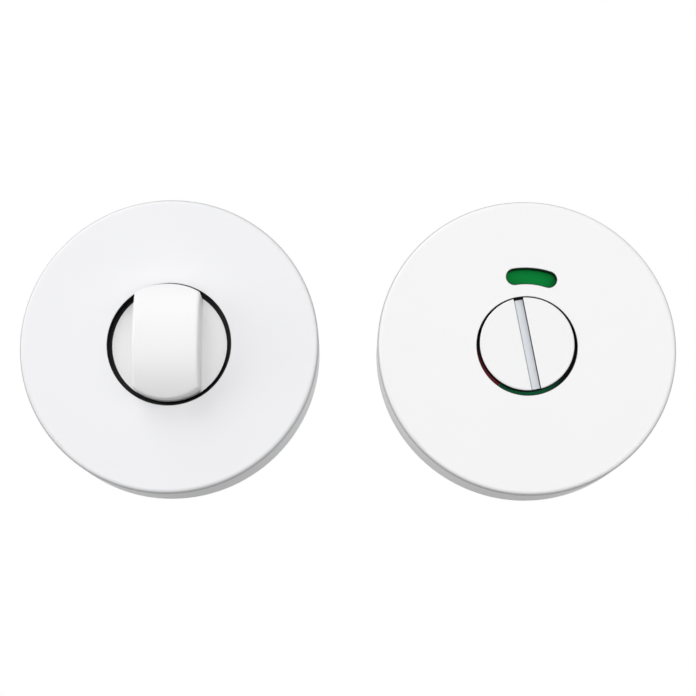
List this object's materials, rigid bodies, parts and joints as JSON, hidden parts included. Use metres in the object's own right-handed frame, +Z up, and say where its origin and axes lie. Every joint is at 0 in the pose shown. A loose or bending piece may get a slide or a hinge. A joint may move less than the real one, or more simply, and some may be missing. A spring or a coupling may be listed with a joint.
{
  "type": "bathroom thumb turn lock",
  "caption": "Round bathroom lock set: inside rose with an arched thumb turn, outside rose with a coin-slot release and curved vacancy window, plus square spindle, through bolts and sleeves.",
  "frame": {"origin": "on the thumb turn's axis, in the door-side face of the inside half", "axes": "+X from the inside half to the outside half, +Y from the roses towards the door, +Z up"},
  "size_m": [0.1142, 0.0617, 0.0523],
  "materials": {
    "rose_paint": "white satin paint",
    "turn_paint": "white satin paint",
    "release_paint": "white satin paint",
    "plate_nylon": "black moulded nylon",
    "bush_nylon": "dark grey acetal",
    "spring_steel": "phosphated spring steel",
    "spindle_steel": "drawn bright steel",
    "black_steel": "blackened steel",
    "zinc_steel": "zinc plated",
    "disc_plastic": "white plastic",
    "field_green": "green",
    "field_red": "red"
  },
  "bodies": {
    "halves": {"inside_cover": "rose_paint", "inside_base_plate": "plate_nylon", "turn_bush": "bush_nylon", "turn_disc_spring": "spring_steel", "fixing_bolts": "zinc_steel", "outside_cover": "rose_paint", "outside_base_plate": "plate_nylon", "release_bush": "bush_nylon", "release_disc_spring": "spring_steel", "bolt_sleeves": "zinc_steel"},
    "turn": {"thumb_turn": "turn_paint", "turn_circlip": "spring_steel", "spindle": "spindle_steel", "spindle_grub_screw": "black_steel"},
    "release": {"coin_release": "release_paint", "release_circlip": "spring_steel", "indicator_disc": "disc_plastic", "green_fields": "field_green", "red_fields": "field_red"}
  },
  "joints": [
    {"name": "turn_rotation", "type": "hinge", "parent": "halves", "child": "turn", "pos_m": [0, 0, 0], "axis": [0, -1, 0], "range_deg": [-90, 0]},
    {"name": "release_rotation", "type": "hinge", "parent": "halves", "child": "release", "pos_m": [0.0622, 0, 0], "axis": [0, -1, 0], "range_deg": [-10, 80]}
  ]
}
